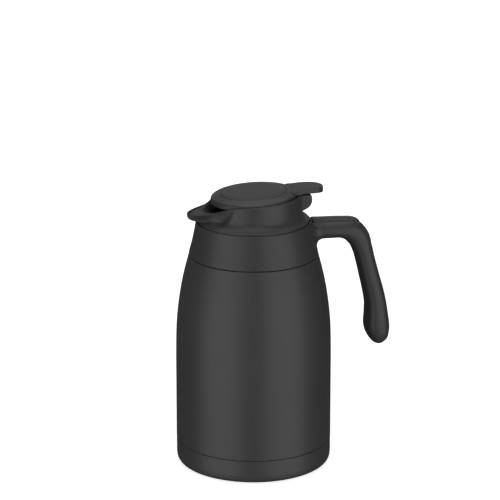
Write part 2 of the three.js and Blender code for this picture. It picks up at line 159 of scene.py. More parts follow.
def lofted(name, rings, ends="closed"):
    """Quads between rings of equal length. ends is capped, or closed where the last ring joins the first."""
    rings = np.array(rings, float)
    count, around = rings.shape[:2]
    index = np.arange(count * around).reshape(count, around)
    faces = []
    for i in range(count if ends == "closed" else count - 1):
        here, on = index[i], index[(i + 1) % count]
        faces += [
            (int(here[j]), int(here[(j + 1) % around]), int(on[(j + 1) % around]), int(on[j]))
            for j in range(around)
        ]
    if ends == "capped":
        faces += [tuple(int(v) for v in index[0][::-1]), tuple(int(v) for v in index[-1])]
    return make_object(name, rings.reshape(-1, 3), faces)


def turned(name, outline, steps=FINE):
    """A closed outline of (radius, z) points turned about Z."""
    turns = np.linspace(0, 2 * math.pi, steps, endpoint=False)
    flat = np.stack([np.cos(turns), np.sin(turns)], axis=1)
    rings = [np.column_stack([radius * flat, np.full(steps, z)]) for radius, z in outline]
    return lofted(name, rings)


def cross_rod(name, radius, ends, x, z, edge=0.3, steps=COARSE):
    """A turned rod laid along Y, between two ends."""
    low, high = ends
    rod = turned(name, rounded([(0, -high), (radius, -high), (radius, -low), (0, -low)], edge), steps)
    rod.data.transform(Matrix.Translation((x * MM, 0, z * MM)) @ Matrix.Rotation(math.pi / 2, 4, "X"))
    return rod


def drill(name, radius, low, high, x=0, steps=COARSE):
    """An upright rod with sharp edges, to cut a hole with."""
    rod = turned(name, [(0, low), (radius, low), (radius, high), (0, high)], steps)
    rod.data.transform(Matrix.Translation((x * MM, 0, 0)))
    return rod


def round_edges(shaped, edges, size):
    bmesh.ops.bevel(shaped, geom=edges, offset=size * MM, segments=3, profile=0.5, affect="EDGES")


def block(name, low, high, bevel=0.35):
    """A box with rounded edges."""
    shaped = bmesh.new()
    bmesh.ops.create_cube(shaped, size=1)
    for vertex in shaped.verts:
        vertex.co = [(a + b) / 2 * MM + c * (b - a) * MM for a, b, c in zip(low, high, vertex.co)]
    if bevel:
        round_edges(shaped, shaped.edges[:], bevel)
    mesh = bpy.data.meshes.new(name)
    shaped.to_mesh(mesh)
    shaped.free()
    made = bpy.data.objects.new(name, mesh)
    bpy.context.scene.collection.objects.link(made)
    return made


def plate(name, outline, low, high, bevel):
    """An outline in X-Z given thickness from low to high along Y, with its rims rounded."""
    rings = [[(x, y, z) for x, z in outline] for y in (low, high)]
    made = lofted(name, rings, ends="capped")
    shaped = bmesh.new()
    shaped.from_mesh(made.data)
    rims = [e for e in shaped.edges if abs(e.verts[0].co.y - e.verts[1].co.y) < 1e-7]
    round_edges(shaped, rims, bevel)
    shaped.to_mesh(made.data)
    shaped.free()
    return made


def combine(target, others, operation="UNION"):
    """target joined with others, or cut by them, as one closed mesh. The others are used up."""
    for other in others:
        step = target.modifiers.new("combine", "BOOLEAN")
        step.operation = operation
        step.solver = "EXACT"
        step.object = other
    bpy.context.view_layer.update()
    done = bpy.data.meshes.new_from_object(target.evaluated_get(bpy.context.evaluated_depsgraph_get()))
    target.modifiers.clear()
    target.data = done
    for other in others:
        bpy.data.objects.remove(other)
    return target


def shade(piece, angle=34):
    """Smooth shading with true flats and crisp edges."""
    piece.data.shade_smooth()
    piece.data.set_sharp_from_angle(angle=math.radians(angle))
    weighted = piece.modifiers.new("even_normals", "WEIGHTED_NORMAL")
    weighted.keep_sharp = True


# ---- finishes ----
class Finish:
    """A node material round one Principled shader. Lengths are in metres, in the piece's own space."""

    def __init__(self, name, color, roughness, metallic=0.0, **uniform):
        self.material = bpy.data.materials.new(name)
        self.material.use_nodes = True
        self.nodes = self.material.node_tree.nodes
        self.links = self.material.node_tree.links
        self.shader = self.nodes["Principled BSDF"]
        self.color = color
        self.shader.inputs["Base Color"].default_value = (*color, 1)
        self.shader.inputs["Roughness"].default_value = roughness
        self.shader.inputs["Metallic"].default_value = metallic
        self.roughness = roughness
        for socket, value in uniform.items():
            self.shader.inputs[socket.replace("_", " ")].default_value = value
        self.place = self.nodes.new("ShaderNodeTexCoord").outputs["Object"]
        self.height = None

    def stretched(self, scale):
        mapping = self.nodes.new("ShaderNodeMapping")
        mapping.inputs["Scale"].default_value = scale
        self.links.new(self.place, mapping.inputs["Vector"])
        return mapping.outputs["Vector"]

    def noise(self, scale, detail=2.0, stretch=None):
        made = self.nodes.new("ShaderNodeTexNoise")
        made.inputs["Scale"].default_value = scale
        made.inputs["Detail"].default_value = detail
        self.links.new(self.stretched(stretch) if stretch else self.place, made.inputs["Vector"])
        return made.outputs["Fac"]

    def cells(self, scale):
        made = self.nodes.new("ShaderNodeTexVoronoi")
        made.inputs["Scale"].default_value = scale
        self.links.new(self.place, made.inputs["Vector"])
        return made.outputs["Distance"]

    def ranged(self, value, low, high, span=(0.3, 0.7)):
        made = self.nodes.new("ShaderNodeMapRange")
        made.inputs["From Min"].default_value = span[0]
        made.inputs["From Max"].default_value = span[1]
        made.inputs["To Min"].default_value = low
        made.inputs["To Max"].default_value = high
        self.links.new(value, made.inputs["Value"])
        return made.outputs["Result"]

    def tone(self, value, change):
        """The base colour darkens and lightens by change with value."""
        mix = self.nodes.new("ShaderNodeMix")
        mix.data_type = "RGBA"
        mix.inputs[6].default_value = (*(c * (1 - change) for c in self.color), 1)
        mix.inputs[7].default_value = (*(c * (1 + change) for c in self.color), 1)
        self.links.new(self.ranged(value, 0, 1), mix.inputs["Factor"])
        self.links.new(mix.outputs[2], self.shader.inputs["Base Color"])
        self.toned = mix.outputs[2]

    def paint_edge_highlights(self, lift):
        """Convex edges are painted a little lighter, a painted highlight along the edges."""
        edge = self.nodes.new("ShaderNodeNewGeometry").outputs["Pointiness"]
        mix = self.nodes.new("ShaderNodeMix")
        mix.data_type = "RGBA"
        self.links.new(self.ranged(edge, 0, 1, (0.52, 0.62)), mix.inputs["Factor"])
        self.links.new(self.toned, mix.inputs[6])
        mix.inputs[7].default_value = (*(c * (1 + lift) for c in self.color), 1)
        self.links.new(mix.outputs[2], self.shader.inputs["Base Color"])

    def vary_roughness(self, value, change):
        result = self.ranged(value, self.roughness - change, self.roughness + change)
        self.links.new(result, self.shader.inputs["Roughness"])

    def bump(self, value, distance, strength=1.0):
        made = self.nodes.new("ShaderNodeBump")
        made.inputs["Distance"].default_value = distance
        made.inputs["Strength"].default_value = strength
        self.links.new(value, made.inputs["Height"])
        if self.height is not None:
            self.links.new(self.height, made.inputs["Normal"])
        self.height = made.outputs["Normal"]
        self.links.new(self.height, self.shader.inputs["Normal"])


def coated_steel():
    coat = Finish("coated_steel", (0.052, 0.0495, 0.0492), 0.43, Specular_IOR_Level=0.5)
    coat.tone(coat.noise(22, 3), 0.035)
    coat.vary_roughness(coat.noise(160, 4), 0.025)
    coat.bump(coat.noise(1500, 2), 0.00002, 0.5)
    coat.bump(coat.noise(5200, 1), 0.00001, 0.5)
    # painted highlight along the convex edges
    coat.paint_edge_highlights(0.12)
    return coat.material


def casing():
    plastic = Finish("casing", (0.047, 0.0455, 0.0453), 0.44, Specular_IOR_Level=0.5)
    plastic.tone(plastic.noise(30, 3), 0.04)
    plastic.vary_roughness(plastic.noise(210, 4), 0.03)
    plastic.bump(plastic.cells(1900), 0.00003, 0.45)
    plastic.bump(plastic.noise(4200, 1), 0.00001, 0.5)
    # painted highlight along the convex edges
    plastic.paint_edge_highlights(0.2)
    return plastic.material


def bare_steel():
    steel = Finish("bare_steel", (0.62, 0.61, 0.58), 0.3, 1.0)
    lines = (6, 6, 900)
    steel.tone(steel.noise(1, 4, lines), 0.05)
    steel.vary_roughness(steel.noise(2.5, 3, lines), 0.07)
    steel.bump(steel.noise(3, 4, lines), 0.00001, 0.5)
    return steel.material


def foil():
    sheet = Finish("foil", (0.72, 0.48, 0.34), 0.24, 1.0)
    sheet.tone(sheet.noise(60, 4), 0.06)
    sheet.vary_roughness(sheet.noise(120, 3), 0.08)
    sheet.bump(sheet.noise(95, 5), 0.0004, 0.5)
    return sheet.material


def inner_plastic():
    plastic = Finish("inner_plastic", (0.03, 0.03, 0.031), 0.36)
    plastic.tone(plastic.noise(45, 3), 0.08)
    plastic.vary_roughness(plastic.noise(260, 3), 0.05)
    plastic.bump(plastic.noise(2600, 2), 0.00002, 0.5)
    # painted highlight along the convex edges
    plastic.paint_edge_highlights(0.5)
    return plastic.material


def silicone():
    soft = Finish("silicone", (0.24, 0.24, 0.25), 0.5, Subsurface_Weight=0.15, Subsurface_Scale=0.001)
    soft.tone(soft.noise(90, 4), 0.07)
    soft.vary_roughness(soft.noise(300, 3), 0.08)
    soft.bump(soft.noise(1800, 2), 0.00002, 0.6)
    return soft.material


def foam():
    cellular = Finish("foam", (0.72, 0.69, 0.62), 0.9)
    cellular.tone(cellular.noise(140, 5), 0.1)
    cellular.vary_roughness(cellular.noise(500, 2), 0.05)
    cellular.bump(cellular.cells(1100), 0.0003, 0.7)
    return cellular.material


def rubber():
    pad = Finish("rubber", (0.02, 0.02, 0.021), 0.78)
    pad.tone(pad.noise(120, 4), 0.15)
    pad.vary_roughness(pad.noise(400, 3), 0.08)
    pad.bump(pad.noise(2400, 3), 0.00005, 0.7)
    return pad.material


FINISHES = {
    "coated_steel": coated_steel(),
    "casing": casing(),
    "bare_steel": bare_steel(),
    "foil": foil(),
    "inner_plastic": inner_plastic(),
    "silicone": silicone(),
    "foam": foam(),
    "rubber": rubber(),
}


SLOT_OF = {part["node"]: part["material_slot"] for part in frame["record"]["subparts"]}
BODY_OF = {node: body for body, nodes in frame["record"]["behaviour"]["bodies"].items() for node in nodes}


def fit(piece, angle=34):
    """The piece takes the place of the CAD node of its name, with that node's body and finish."""
    node = piece.name.removesuffix("_fine")
    slot = SLOT_OF[node]
    piece.data.materials.clear()
    piece.data.materials.append(FINISHES[slot])
    shade(piece, angle)
    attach(piece, BODY_OF[node])
    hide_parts(node)
    return piece


# ---- pot ----
SHOULDER = [(62, 60), (62, 88), (61.3, 116), (59.2, 136), (56.1, 153.5), (51.45, COLLAR_SEAM_Z - 0.4)]


def shoulder():
    return smooth_rows(SHOULDER, np.linspace(1, len(SHOULDER) - 1, 41))


def outer_shell():
    outside = [
        (1.6, 5.4), (6, 5.4, 1), (8, 3.4, 1), (56.5, 3.4, 2), (59.6, 5, 2), (60.3, 8, 2),
        (60.3, BASE_SEAM_Z + 0.2, 0.1), (BODY_RADIUS, BASE_SEAM_Z + 0.35, 0.4),
    ]
    wall = [tuple(spot) for spot in shoulder()]
    wall[-1] = (*wall[-1], 0.35)
    inner_wall = [(radius - STEEL, z - 0.2) for radius, z in shoulder()[::-1]]
    neck = [
        (49.2, 172.9, 0.5), (46.5, 174.6, 2), (NECK_RADIUS, 184.5, 3), (NECK_RADIUS, 190.9),
        (NECK_RADIUS - STEEL, 190.9), (NECK_RADIUS - STEEL, 184.1, 3), (45.9, 174, 2), (48.9, 172.1, 0.3),
    ]
    floor = [
        (61.1, 22, 0.3), (59.5, 21.2, 0.2), (59.5, 8, 1.4), (59, 5.6, 1.4), (56.3, 4.2, 1.4),
        (8.4, 4.2, 0.6), (6.4, 6.2, 0.6), (1.6, 6.2),
    ]
    return turned("outer_shell_fine", rounded(outside + wall + neck + inner_wall + floor))


def inner_liner():
    outside = [
        (52.2, 9, 5), (56.2, 10.5, 5), (58.2, 16, 5), (58.2, 95, 60), (57.6, 120, 60), (56, 140, 40),
        (53, 155, 30), (49, 166, 20), (44.5, 174, 8), (MOUTH_RADIUS + STEEL, 184.2, 4),
    ]
    inside = [(radius - STEEL, z + (STEEL if z < 20 else -0.2), turn) for radius, z, turn in outside[::-1]]
    lip = [
        (MOUTH_RADIUS + STEEL, 191.2, 0.3), (NECK_RADIUS, 191.2, 0.3), (NECK_RADIUS, 192, 0.4),
        (MOUTH_RADIUS, 192, 0.8),
    ]
    return turned("inner_liner_fine", rounded([(0, 9), *outside, *lip, *inside, (0, 9.8)], steps=6))


def base_cup():
    return turned("base_cup_fine", rounded([
        (0, 2.1), (48.4, 2.1), (48.4, 0.3, 0.6), (57, 0.3, 2), (60.2, 1.4, 3), (61.5, 3.8, 3),
        (61.9, 7, 3), (61.9, BASE_SEAM_Z, 0.45), (60.7, BASE_SEAM_Z, 0.2), (60.7, 6.4, 1), (59, 3.9, 1),
        (57.5, 3.1, 1), (0, 3.1),
    ]))


def base_pad():
    grooves = []
    for middle in (12, 22, 32, 42):
        grooves += [(middle - 1.2, 0), (middle - 0.8, 0.7), (middle + 0.8, 0.7), (middle + 1.2, 0)]
    return turned("base_pad_fine", rounded([(0, 0), *grooves, (48, 0, 0.4), (48, 1.8), (0, 1.8)], 0.2))


def vacuum_seal():
    return turned("vacuum_seal_fine", rounded([
        (0, 3.6), (4, 3.6), (4, 4.7, 0.5), (1.2, 5, 0.3), (1.2, 7, 0.5), (0, 7),
    ]), COARSE)


def getter_pellet():
    cup = turned("getter_pellet_fine", rounded([
        (0, 5.1), (6, 5.1, 0.8), (6, 8.7, 0.2), (5.5, 8.7, 0.2), (5.3, 8.2, 0.2), (0, 8.2),
    ]), COARSE)
    cup.data.transform(Matrix.Translation((24 * MM, 0, 0)))
    return cup


# ---- collar and handle ----
COLLAR = [
    (51.5, 168), (51.3, COLLAR_SEAM_Z + 0.3), (48.9, 182.5), (47, 191.5), (45.75, 199), (45.45, 201.5),
]

# The handle's middle line and section: x, z, half its thickness, half its width.
HANDLE = [
    (40, 189.6, 8.4, 20), (48, 189.8, 7.9, 15.5), (54, 190, 7.6, 12.6), (62, 190.1, 7.5, 11.6),
    (70.5, 189.8, 7.6, 11.3), (78.6, 187.6, 9.1, 11.3), (84.3, 181.7, 9, 11.3), (87.6, 173, 7.9, 11.4),
    (90, 164.2, 7.6, 11.5), (93.6, 150, 7.8, 11.6), (96.9, 137, 8.2, 11.8), (98.9, 127, 8.5, 12.2),
    (99.7, 117.5, 9.3, 12.8), (100.3, 107, 10.1, 13.2), (102, 99.8, 8.5, 12), (104.1, 95.2, 5.7, 9),
    (105.8, 92.4, 1.2, 2),
]
ARM_END = 3.15  # place along HANDLE where the straight arm's rings give way to turned ones
CHANNEL_END = 14.96
COVER_HALF_WIDTH = 6.2
COVER_SINK = 0.6  # the crown is lower at its edges than in its middle
CHANNEL_HALF_WIDTH = COVER_HALF_WIDTH + GAP
CHANNEL_MOST = 0.57  # share of the handle that the channel takes where the handle is slim
CHANNEL_DEPTH = 1.3
RIDGE = 1.2  # how far the arm's cover stands proud
SECTION_POWER = 2.5
SECTION_STEPS = 72
CROWN_STEPS = 14  # across the channel
ROOT_RADIUS = 7.2  # fillet under and beside the arm, where it leaves the collar
TOP_ROOT_RADIUS = 1.8
ROOT_SINK = 0.9  # how far inside the collar's skin the arm starts
SCREW_XS = (57, 70)
SCREW_RADIUS = 1.9


def collar_radius(z):
    line = smooth_rows(COLLAR, np.linspace(0, len(COLLAR) - 1, 120))
    return np.interp(z, line[:, 1], line[:, 0])


def handle_at(place):
    """Middle, outward direction and half sizes at a place counted in rows of HANDLE."""
    step = 0.01
    row = smooth_rows(HANDLE, place)[0]
    ahead = smooth_rows(HANDLE, min(place + step, len(HANDLE) - 1))[0]
    behind = smooth_rows(HANDLE, max(place - step, 0))[0]
    along = (ahead - behind)[:2]
    along = along / np.linalg.norm(along)
    return row[:2], np.array([-along[1], along[0]]), row[2], row[3]


def crown(y, thick, wide):
    """Height of the section's back above its middle, at y."""
    return thick * (1 - np.abs(y / wide) ** SECTION_POWER) ** (1 / SECTION_POWER)


def handle_section(thick, wide, channel):
    """Points (y, up) round the handle, with or without the covers' channel along its back."""
    half = min(CHANNEL_HALF_WIDTH, CHANNEL_MOST * wide)
    start = math.asin(crown(half, 1, wide) ** (SECTION_POWER / 2))
    turns = np.linspace(start, start - 2 * math.pi + 2 * (math.pi / 2 - start), SECTION_STEPS)
    across = np.sign(np.cos(turns)) * np.abs(np.cos(turns)) ** (2 / SECTION_POWER)
    up = np.sign(np.sin(turns)) * np.abs(np.sin(turns)) ** (2 / SECTION_POWER)
    skin = np.column_stack([across * wide, up * thick])
    ys = np.linspace(-half, half, CROWN_STEPS)
    depth = CHANNEL_DEPTH if channel else 0
    back = np.column_stack([ys, crown(ys, thick, wide) - depth])
    return np.concatenate([skin, back])


def handle_ring(place, channel):
    middle, outward, thick, wide = handle_at(place)
    section = handle_section(thick, wide, channel)
    x = middle[0] + section[:, 1] * outward[0]
    z = middle[1] + section[:, 1] * outward[1]
    return np.column_stack([x, section[:, 0], z])


def root_rings():
    """The arm from inside the collar's wall: a fillet that follows the collar, then a plain bar."""
    middle, _, thick, wide = handle_at(ARM_END)
    section = handle_section(thick, wide, True)
    plain = handle_section(thick, wide, False)
    slopes = np.gradient(plain, axis=0)
    normal = np.column_stack([-slopes[:, 1], slopes[:, 0]])
    normal /= np.linalg.norm(normal, axis=1)[:, None]
    normal *= np.sign(np.sum(normal * plain, axis=1))[:, None]
    in_channel = np.arange(len(section)) >= SECTION_STEPS
    up_share = plain[:, 1] / thick
    radius = ROOT_RADIUS + (TOP_ROOT_RADIUS - ROOT_RADIUS) * smoothstep((up_share - 0.35) / 0.5)
    radius = np.where(in_channel, 0.0, radius)

    def ring(reach, growth):
        y = section[:, 0] + normal[:, 0] * growth
        z = middle[1] + section[:, 1] + normal[:, 1] * growth
        x = np.sqrt(collar_radius(z) ** 2 - y**2) + reach
        return np.column_stack([x, y, z])

    rings = [ring(-ROOT_SINK, radius)]
    for turn in np.linspace(0, math.pi / 2, 13):
        rings.append(ring(radius * (1 - math.cos(turn)), radius * (1 - math.sin(turn))))
    last, end = rings[-1], handle_ring(ARM_END, True)
    rings += [last + (end - last) * share for share in np.linspace(0, 1, 9)[1:-1]]
    return rings


def collar_handle():
    outer = smooth_rows(COLLAR, np.linspace(1, 3.7, 22))
    wall = [(radius, z) for radius, z in outer]
    wall[0] = (*wall[0], 0.35)
    ring = turned("collar_handle_fine", rounded([
        *wall, (45.65, RIM_Z, 1), (RECESS_RADIUS, RIM_Z, 0.3), (RECESS_RADIUS, LEDGE_Z, 0.6),
        (38.9, LEDGE_Z), (38.9, 186), (41.5, 186), (41.5, 194.4, 0.6), (43, 194.4, 0.6),
        (49.4, COLLAR_SEAM_Z + 0.3, 0.3),
    ]))
    places = np.concatenate([np.linspace(ARM_END, CHANNEL_END, 104), np.linspace(CHANNEL_END, 16, 14)[1:]])
    rings = root_rings()
    rings += [handle_ring(place, place <= CHANNEL_END) for place in places]
    bar = lofted("bar", rings, ends="capped")
    holes = [drill(f"hole_{x}", SCREW_RADIUS + GAP, 188, 200, x, 48) for x in SCREW_XS]
    combine(ring, [bar])
    return combine(ring, holes, "DIFFERENCE")


def cover(name, first, last, rise, edge, end_radius):
    """A strip in the handle's channel, from place first to place last, that stands rise above the skin."""
    line = [handle_at(place)[0] for place in np.linspace(first, last, 80)]
    length = np.linalg.norm(np.diff(line, axis=0), axis=1).sum()
    ends = end_radius * (1 - np.cos(np.linspace(0, math.pi / 2, 6)))
    straight = np.linspace(end_radius, length - end_radius, 64)[1:-1]
    distances = np.concatenate([ends, straight, length - ends[::-1]])
    rings = []
    for distance in distances:
        middle, outward, thick, wide = handle_at(first + (last - first) * distance / length)
        inward = max(0, end_radius - min(distance, length - distance))
        sink = end_radius - math.sqrt(max(0, end_radius**2 - inward**2))
        foot_z = thick - CHANNEL_DEPTH + GAP - COVER_SINK
        back_ys = np.linspace(COVER_HALF_WIDTH - edge, -COVER_HALF_WIDTH + edge, 17)
        back = np.column_stack([back_ys, crown(back_ys, thick, wide) + rise - sink])
        shoulder_z = back[0, 1]
        corner = [
            (COVER_HALF_WIDTH - edge + edge * math.cos(t), shoulder_z - edge + edge * math.sin(t))
            for t in np.linspace(0, math.pi / 2, 6)[:-1]
        ]
        far = [(-y, up) for y, up in corner[::-1]]
        foot = [(-COVER_HALF_WIDTH, foot_z), (COVER_HALF_WIDTH, foot_z)]
        section = np.array([*corner, *back, *far, *foot])
        x = middle[0] + section[:, 1] * outward[0]
        z = middle[1] + section[:, 1] * outward[1]
        rings.append(np.column_stack([x, section[:, 0], z]))
    return lofted(name, rings, ends="capped")


def cross_recess(screw, x, low, high, width, length):
    """Cuts a cross into a screw's head."""
    half, reach = width / 2, length / 2
    slots = [
        block(f"slot_{i}", (x - across, -along, low), (x + across, along, high), 0)
        for i, (across, along) in enumerate([(half, reach), (reach, half)])
    ]
    return combine(screw, slots, "DIFFERENCE")


def handle_screw(name, x, low, high):
    outline = rounded([(0, low), (SCREW_RADIUS, low), (SCREW_RADIUS, high), (0, high)], 0.25)
    screw = turned(name, outline, COARSE)
    screw.data.transform(Matrix.Translation((x * MM, 0, 0)))
    return cross_recess(screw, x, high - 1, high + 1, 0.6, 2.4)


# ---- neck ----
def around_three(make):
    """Three copies of a piece, each turned a third further, the first one sixth of a turn from +X."""
    copies = []
    for i in range(3):
        copy = make(i)
        copy.data.transform(Matrix.Rotation((2 * i + 1) * math.pi / 3, 4, "Z"))
        copies.append(copy)
    return copies


def bayonet_ring():
    ring = turned("bayonet_ring_fine", rounded([
        (36.6, 192.5), (38.6, 192.5), (38.6, 196.9), (34.9, 196.9), (34.9, 194.9), (36.6, 194.9, 0.1),
    ], 0.2))
    gates = around_three(lambda i: block(f"gate_{i}", (30, -9.5, 194), (36.58, 9.5, 198), 0.2))
    return combine(ring, gates, "DIFFERENCE")


# ---- stopper housing ----
RIM = {"middle": 220.2, "slope": 0.065, "crown": 0.0011, "drop": 5.5, "drop_start": -19, "drop_length": 19}
# Outside radius of the rim, by the angle from the spout in degrees.
RIM_PLAN = [
    (0, SPOUT_REACH), (5, 52.3), (8, 50.4), (11, 48.1), (13.5, 45.8), (16.3, 43.4), (19.6, 41.1),
    (23, 39.3), (28, 37.8), (38, 36.5), (50, 36.6), (60, HOUSING_RADIUS),
]
CREASE_RIM = 60  # degrees from the spout to the crease beside the beak, at the rim
CREASE_FOOT = 43
CHEEK_DEPTH = 4  # of the hollow beside the beak
BEAK_QUICKNESS = 0.17  # share of the height over which the spout grows
CHEEK_QUICKNESS = 2
CHEEK_WIDTH = 48  # degrees
BOWL_QUICKNESS = 0.075  # of the spout's inside
BEAK_EDGE = 26  # degrees from the spout over which the beak grows
SHOULDER_Z = 201.3
SKIRT = 6.2  # how far the foot of the cone flares out
SKIRT_HEIGHT = 2.6  # over which the flare shrinks to about a third
BEAK_GROWTH = 8  # where the spout has grown by this much, the flare gives way to it
BOWL_FLOOR_Z = 203.4
BOWL_RISE = 1.8  # of the floor towards the spout
BOWL_FILLET = 2.1
DRAIN_RADIUS = 30.4
WALL = 1.6
LIP_WALL = 2.2  # thickness at the spout's tip
SKIN_SHARES = (0, 0.01, 0.025, 0.045, 0.07, 0.1, 0.14, 0.19, 0.25, 0.32, 0.4, 0.5, 0.6, 0.7, 0.8, 0.9, 0.96)
BOWL_SHARES = (0.9, 0.8, 0.7, 0.6, 0.5, 0.4, 0.31, 0.24, 0.18, 0.13, 0.09, 0.05, 0.02, 0)
HOUSING_STEPS = 336
TURNS = np.linspace(0, 2 * math.pi, HOUSING_STEPS, endpoint=False)
FROM_SPOUT = np.degrees(np.abs(TURNS - math.pi))
CIRCLE = np.column_stack([np.cos(TURNS), np.sin(TURNS)])


def rim_height(x):
    drop = RIM["drop"] * smoothstep((RIM["drop_start"] - x) / RIM["drop_length"])
    return RIM["middle"] + RIM["slope"] * x - RIM["crown"] * x * x - drop


def spout_growth(degrees):
    """How far the rim's plan reaches past the plain cone, by the angle from the spout."""
    mirrored = [(-angle, radius) for angle, radius in RIM_PLAN[:0:-1]] + RIM_PLAN
    line = smooth_rows(mirrored, np.linspace(0, len(mirrored) - 1, 600))
    radius = np.interp(np.abs(degrees), line[:, 0], line[:, 1])
    return np.where(np.abs(degrees) < CREASE_RIM, radius - HOUSING_RADIUS, 0.0)


def housing_plan(share, quickness=BEAK_QUICKNESS):
    """The cone's plan at a share of its height, as points and inward normals.

    The spout leaves the cone at once under the beak, and bit by bit in the cheeks beside it.
    """
    crease = CREASE_FOOT + (CREASE_RIM - CREASE_FOOT) * share
    turned_in = FROM_SPOUT * CREASE_RIM / crease
    height = quickness + (CHEEK_QUICKNESS - quickness) * smoothstep((turned_in - 5) / 17)
    part = (1 - np.exp(-share / height)) / (1 - np.exp(-1 / height))
    radius = HOUSING_RADIUS + spout_growth(turned_in) * np.where(turned_in < BEAK_EDGE, part, 1)
    hollow = np.clip((CREASE_RIM - turned_in) / CHEEK_WIDTH, 0, 1)
    low = (1 - share) ** 0.8 * (0.35 + 0.65 * smoothstep(share / 0.3))
    radius -= CHEEK_DEPTH * low * hollow * (1 - hollow) ** 2 * 27 / 4  # 27 / 4 brings the peak to one
    spots = radius[:, None] * CIRCLE
    along = np.roll(spots, -1, axis=0) - np.roll(spots, 1, axis=0)
    along /= np.linalg.norm(along, axis=1)[:, None]
    return spots, np.column_stack([-along[:, 1], along[:, 0]])


def housing_heights(share, foot):
    """z of each point at a share of the way from the foot to the rim above it."""
    rim_spots, _ = housing_plan(1)
    rim = rim_height(rim_spots[:, 0])
    return foot + (rim - foot) * share


def housing_circle(radius, z):
    return np.column_stack([radius * CIRCLE, np.full(HOUSING_STEPS, z)])


def housing_skin():
    flange = rounded([
        (DRAIN_RADIUS, 199), (36.9, 199, 0.4), (36.9, LEDGE_Z + 0.4), (44.2, LEDGE_Z + 0.4),
        (44.2, 200.8, 0.7), (43.6, 201.25),
    ], closed=False)
    rings = [housing_circle(radius, z) for radius, z in flange]
    thickness = WALL + (LIP_WALL - WALL) * smoothstep((30 - FROM_SPOUT) / 20)
    half = thickness / 2
    growth = spout_growth(FROM_SPOUT)
    beak = np.clip(growth / BEAK_GROWTH, 0, 1)
    for share in SKIN_SHARES:
        spots, inward = housing_plan(share)
        z = housing_heights(share, SHOULDER_Z)
        z = np.minimum(z, housing_heights(1, SHOULDER_Z) - half)
        skirt = SKIRT * np.exp(-(z - SHOULDER_Z) / SKIRT_HEIGHT) * (1 - math.sqrt(share) * beak)
        rings.append(np.column_stack([spots - inward * skirt[:, None], z]))
    rim, inward = housing_plan(1)
    top = housing_heights(1, SHOULDER_Z)
    for turn in np.linspace(0, math.pi, 9):
        across = half * (1 - math.cos(turn))
        rings.append(np.column_stack([rim + inward * across[:, None], top - half + half * math.sin(turn)]))
    foot = BOWL_FLOOR_Z + BOWL_RISE * np.clip(growth, 0, None) / (SPOUT_REACH - HOUSING_RADIUS)
    for share in BOWL_SHARES:
        spots, inward = housing_plan(share, BOWL_QUICKNESS)
        z = np.minimum(housing_heights(share, foot), top - half)
        inset = thickness + BOWL_FILLET * math.exp(-share / 0.1)
        rings.append(np.column_stack([spots + inward * inset[:, None], z]))
    rings += [housing_circle(DRAIN_RADIUS + 0.3, 201.35), housing_circle(DRAIN_RADIUS, 201.1)]
    return lofted("stopper_housing_fine", rings)


EAR_Y = (5.4, 9.6)
EAR_ROOT_X = 35.9
EAR_TOP_Z = 220.7
EAR_RADIUS = 8
EAR_CENTRE = (37.4, 216.5)
BORE_ENDS = (PIN_ENDS[0] - 0.09, 12)


def ear(name, side):
    centre_x, centre_z = EAR_CENTRE
    arc = [
        (centre_x + EAR_RADIUS * math.cos(turn), centre_z + EAR_RADIUS * math.sin(turn), 0)
        for turn in np.linspace(-1.2, 0.25, 24)
    ]
    foot = [(EAR_ROOT_X, 206.9, 0), (38, 207.8, 1.2)]
    outline = rounded([*foot, *arc, (44.8, EAR_TOP_Z, 1.4), (EAR_ROOT_X, EAR_TOP_Z, 0)], steps=6)
    low, high = sorted((side * EAR_Y[0], side * EAR_Y[1]))
    return plate(name, outline, low, high, 0.7)


def stopper_housing():
    housing = combine(housing_skin(), [ear("ear_1", 1), ear("ear_2", -1)])
    return combine(housing, [cross_rod("bore", PIN_BORE, BORE_ENDS, PIN_X, PIN_Z, 0)], "DIFFERENCE")


# ---- stopper plug and seals ----
def stopper_plug():
    body = turned("stopper_plug_fine", rounded([
        (8.8, PLUG_BOTTOM_Z), (10.4, PLUG_BOTTOM_Z), (10.4, 169), (16.8, 169, 0.6), (16.8, 186.6, 1),
        (30, 193.2, 0.6), (30, 168.8), (PLUG_RADIUS, 168.8, 0.5), (PLUG_RADIUS, 181.7), (31.8, 181.7),
        (31.8, 186.3), (PLUG_RADIUS, 186.3), (PLUG_RADIUS, 191.6), (34.2, 192.4), (34.2, 197.4),
        (36.5, 197.4), (36.5, 198.7), (33.7, 198.7), (33.7, 197.1), (31.3, 197.1), (31.3, 198.7),
        (29.5, 198.7), (15, 187.5, 1.2), (15, 171, 0.8), (10.6, 171), (10.2, 171.8, 0.4),
        (9.2, 171.8, 0.4), (8.8, 171),
    ]))
    lugs = around_three(lambda i: block(f"lug_{i}", (33.5, -7, 192.7), (36.1, 7, 194.5), 0.4))
    return combine(body, lugs)


def stopper_gasket():
    """A seal with two wiping lips."""
    return turned("stopper_gasket_fine", rounded([
        (32.1, 182.1), (33.2, 182.1), (34.35, 182.7, 0.15), (34.35, 183.1, 0.15), (33.5, 183.6),
        (33.5, 184.1), (34.35, 184.7, 0.15), (34.35, 185.1, 0.15), (33.4, 185.9), (32.1, 185.9),
    ], 0.2))


def valve_bridge():
    ring = turned("valve_bridge_fine", band(26.2, 30.05, 199.1, 201.1, 0.4))
    hub = turned("hub", rounded([(0, 197.9), (5.2, 197.9, 0.5), (5.2, 203, 0.8), (0, 203)]), COARSE)
    spokes = around_three(lambda i: block(f"spoke_{i}", (3, -1.6, 199.1), (27.5, 1.6, 201.1), 0.4))
    bore = drill("bore", STEM_RADIUS + 0.1, 190, 210)
    return combine(combine(ring, [hub, *spokes]), [bore], "DIFFERENCE")


